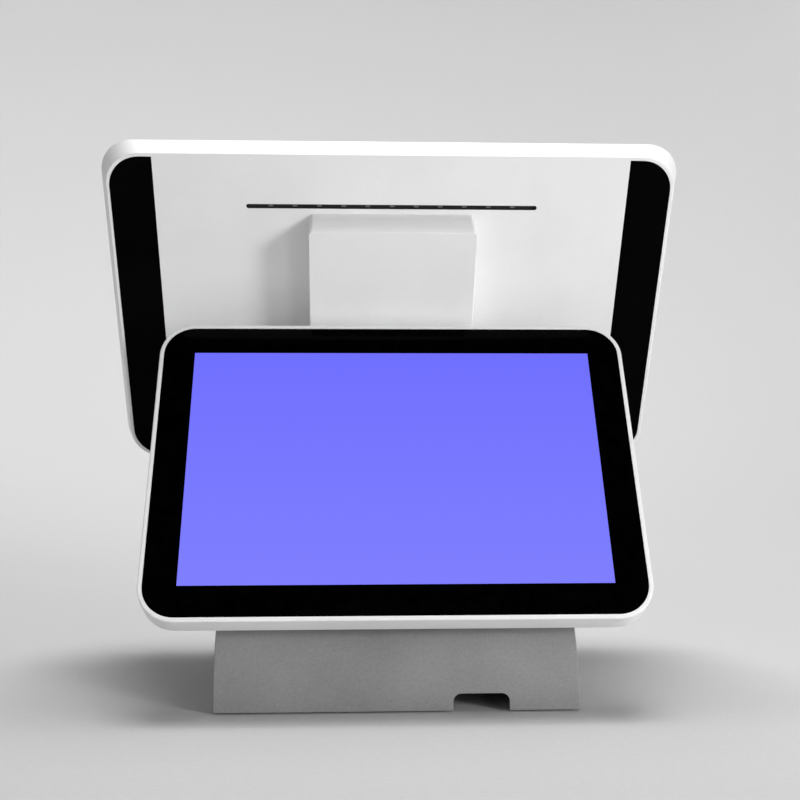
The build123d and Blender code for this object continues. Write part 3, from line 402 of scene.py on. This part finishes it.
def coverGlass(headName):  # a pane with rounded edges, printed black round the window over the lit panel
    size = glassSizes[headName]
    ways = headFrame(headName, size["facing"])
    across, up, out = ways["across"], ways["up"], ways["out"]
    glass = headName + "_glass"
    left, right = reach(glass, across)
    low, high = reach(glass, up)
    back, front = reach(glass, out)
    middle = across * ((left + right) / 2) + up * ((low + high) / 2)

    work = bmesh.new()

    def addCorners(points, depth):  # points across and up the pane, at one depth
        return [work.verts.new(middle + across * x + up * y + out * depth) for x, y in points]

    rings = []
    for inset, depth in paneProfile(back, front):
        wide, tall = right - left - 2 * inset, high - low - 2 * inset
        rings.append(addCorners(roundedRing(wide, tall, glassSizes["corner"] * mm - inset), depth))
    joinRings(work, rings)
    work.faces.new(list(reversed(rings[0])))
    halfWide, halfTall = (length * mm / 2 for length in size["lit"])
    window = addCorners([(x * halfWide, y * halfTall) for x, y in quarters], front)
    printedBorder(work, rings[-1], window)
    work.faces.new(window).material_index = 1

    litLow, litHigh = middle.dot(up) - halfTall, middle.dot(up) + halfTall
    lit = litPanel(headName + "LitPanel", litColours["bottom"], litColours["top"], litLow, litHigh, up)
    mesh = finishMesh(headName + "CoverGlass", work, [finishes["black_glass"], lit])
    pane = newPiece(headName + "_cover_glass", mesh, headName + "_head", glass)
    pane.visible_diffuse = False  # the lit window shows its colour, without tinting what stands round it
    pane.visible_glossy = False


for headName in ("main", "customer"):
    coverGlass(headName)
print("cover glasses")

# the feet
footSizes = {  # millimetres
    "edgeRound": 0.5,
    "dishRadius": 7.0,
    "dishDepth": 0.45,
    "dishRound": 0.6,
    "roundSteps": 4,
    "segments": 56,
}


def footProfile(radius, low, high):  # distance from the axis and height, from the dish to the top
    edge, dish = footSizes["edgeRound"] * mm, footSizes["dishRadius"] * mm
    deep, lip = footSizes["dishDepth"] * mm, footSizes["dishRound"] * mm
    profile = [(dish - 2 * lip, low + deep), (dish - lip, low + deep), (dish - lip / 3, low + deep / 2)]
    profile += [(dish, low + deep / 8), (dish + lip / 2, low)]
    for i in range(footSizes["roundSteps"] + 1):
        angle = math.radians(90 * i / footSizes["roundSteps"])
        profile.append((radius - edge + edge * math.sin(angle), low + edge - edge * math.cos(angle)))
    return profile + [(radius, high - edge / 3), (radius - edge / 3, high)]


def rubberFeet():  # moulded feet: a rounded rim round a shallow dish, so that each one grips by its ring
    places = {}
    for vertex in nodes["rubber_feet"].data.vertices:
        places.setdefault((vertex.co.x > 0, vertex.co.y > 0), []).append(vertex.co)
    work = bmesh.new()
    for spots in places.values():
        (left, right), (front, rear), (low, high) = [
            (min(spot[axis] for spot in spots), max(spot[axis] for spot in spots)) for axis in range(3)
        ]
        middle = ((left + right) / 2, (front + rear) / 2, 0)
        profile = footProfile((right - left) / 2, low, high)
        rings = turnedRings(work, profile, footSizes["segments"], middle)
        joinRings(work, rings)
        work.faces.new(list(reversed(rings[0])))
        work.faces.new(rings[-1])
    mesh = finishMesh("rubberFeet", work, [finishes["rubber_foot"]])
    newPiece("moulded_feet", mesh, "stand", "rubber_feet")


rubberFeet()
print("feet")

# studio: floor that sweeps up into a wall all round, lights, camera
studio = {  # metres, and how strong the world's light is
    "floorRings": (0.02, 0.4, 0.9),
    "sweepRadius": 2.5,
    "sweepSteps": 24,
    "wallHeight": 3.2,
    "segments": 96,
    "world": 0.05,
}
lights = {  # place, aim, size, watts, and how wide the beam opens in degrees
    "overheadSoftbox": ((0.15, 0.36, 2.4), (0, 0, 0), 1.4, 35),
    "keySoftbox": ((1.35, -1.25, 0.48), (0, 0, 0.25), 0.5, 4.8, 100),
    "lowFill": ((0.6, -1.2, 0.13), (0, 0, 0.25), 0.25, 1.6),
    "backdropRight": ((1.2, 0.5, 1.9), (1.4, 3.0, 2.6), 1.4, 7),
    "backdropLeft": ((-1.2, 0.5, 1.9), (-1.0, 3.0, 2.0), 1.4, 14),
    "backdropFront": ((0, -0.6, 2.6), (0, -3.2, 1.2), 1.4, 11),
    "cornerGlow": ((1.8, 2.1, 1.8), (1.3, 2.8, 1.4), 0.35, 1.6),
    "backdropMiddle": ((0, 0.6, 2.6), (0, 3.2, 1.2), 1.4, 36),
}


def studioSweep():
    work = bmesh.new()
    radius, floorEdge = studio["sweepRadius"], studio["floorRings"][-1]
    profile = [(ring, 0.0) for ring in studio["floorRings"]]
    for i in range(1, studio["sweepSteps"] + 1):
        angle = math.radians(90 * i / studio["sweepSteps"])
        profile.append((floorEdge + radius * math.sin(angle), radius * (1 - math.cos(angle))))
    profile.append((floorEdge + radius, studio["wallHeight"]))
    rings = turnedRings(work, profile, studio["segments"])
    joinRings(work, rings)
    work.faces.new(rings[0])
    # background paper: matt, with a faint fibre
    settings = {"IOR": 1.45, "Specular IOR Level": 0.0, "Roughness": 0.9}
    material, tree, shader, where = newMaterial("palePaperSweep", settings)
    fibre = noiseAt(tree, where, grainMm=3, detail=3.0)
    tree.links.new(colourRange(tree, fibre, "#cfcfcf", "#d3d3d3"), shader.inputs["Base Color"])
    linkObject("studio_sweep", finishMesh("studioSweep", work, [material]))


def softbox(name, place, aim, size, watts, opening=180):
    lamp = bpy.data.lights.new(name, "AREA")
    lamp.shape = "DISK"
    lamp.size = size
    lamp.energy = watts
    lamp.spread = math.radians(opening)
    holder = linkObject(name, lamp)
    holder.location = place
    holder.rotation_euler = (Vector(aim) - Vector(place)).to_track_quat("-Z", "Y").to_euler()
    holder.visible_camera = False


studioSweep()
for name, settings in lights.items():
    softbox(name, *settings)

world = bpy.data.worlds.new("studioWorld")
world.use_nodes = True
background = world.node_tree.nodes["Background"]
background.inputs["Color"].default_value = (1, 1, 1, 1)
background.inputs["Strength"].default_value = studio["world"]
bpy.context.scene.world = world
bpy.context.scene.view_settings.view_transform = "Standard"

# place in metres, turn in degrees, lens in millimetres
cameraSizes = {"place": (-0.0277, -0.7835, 0.1868), "turn": -2.425, "lens": 52.15}
lens = bpy.data.cameras.new("camera")
lens.lens = cameraSizes["lens"]
camera = linkObject("camera", lens)
camera.location = cameraSizes["place"]
camera.rotation_euler = (math.radians(90), 0, math.radians(cameraSizes["turn"]))
bpy.context.scene.camera = camera
print("studio and camera")
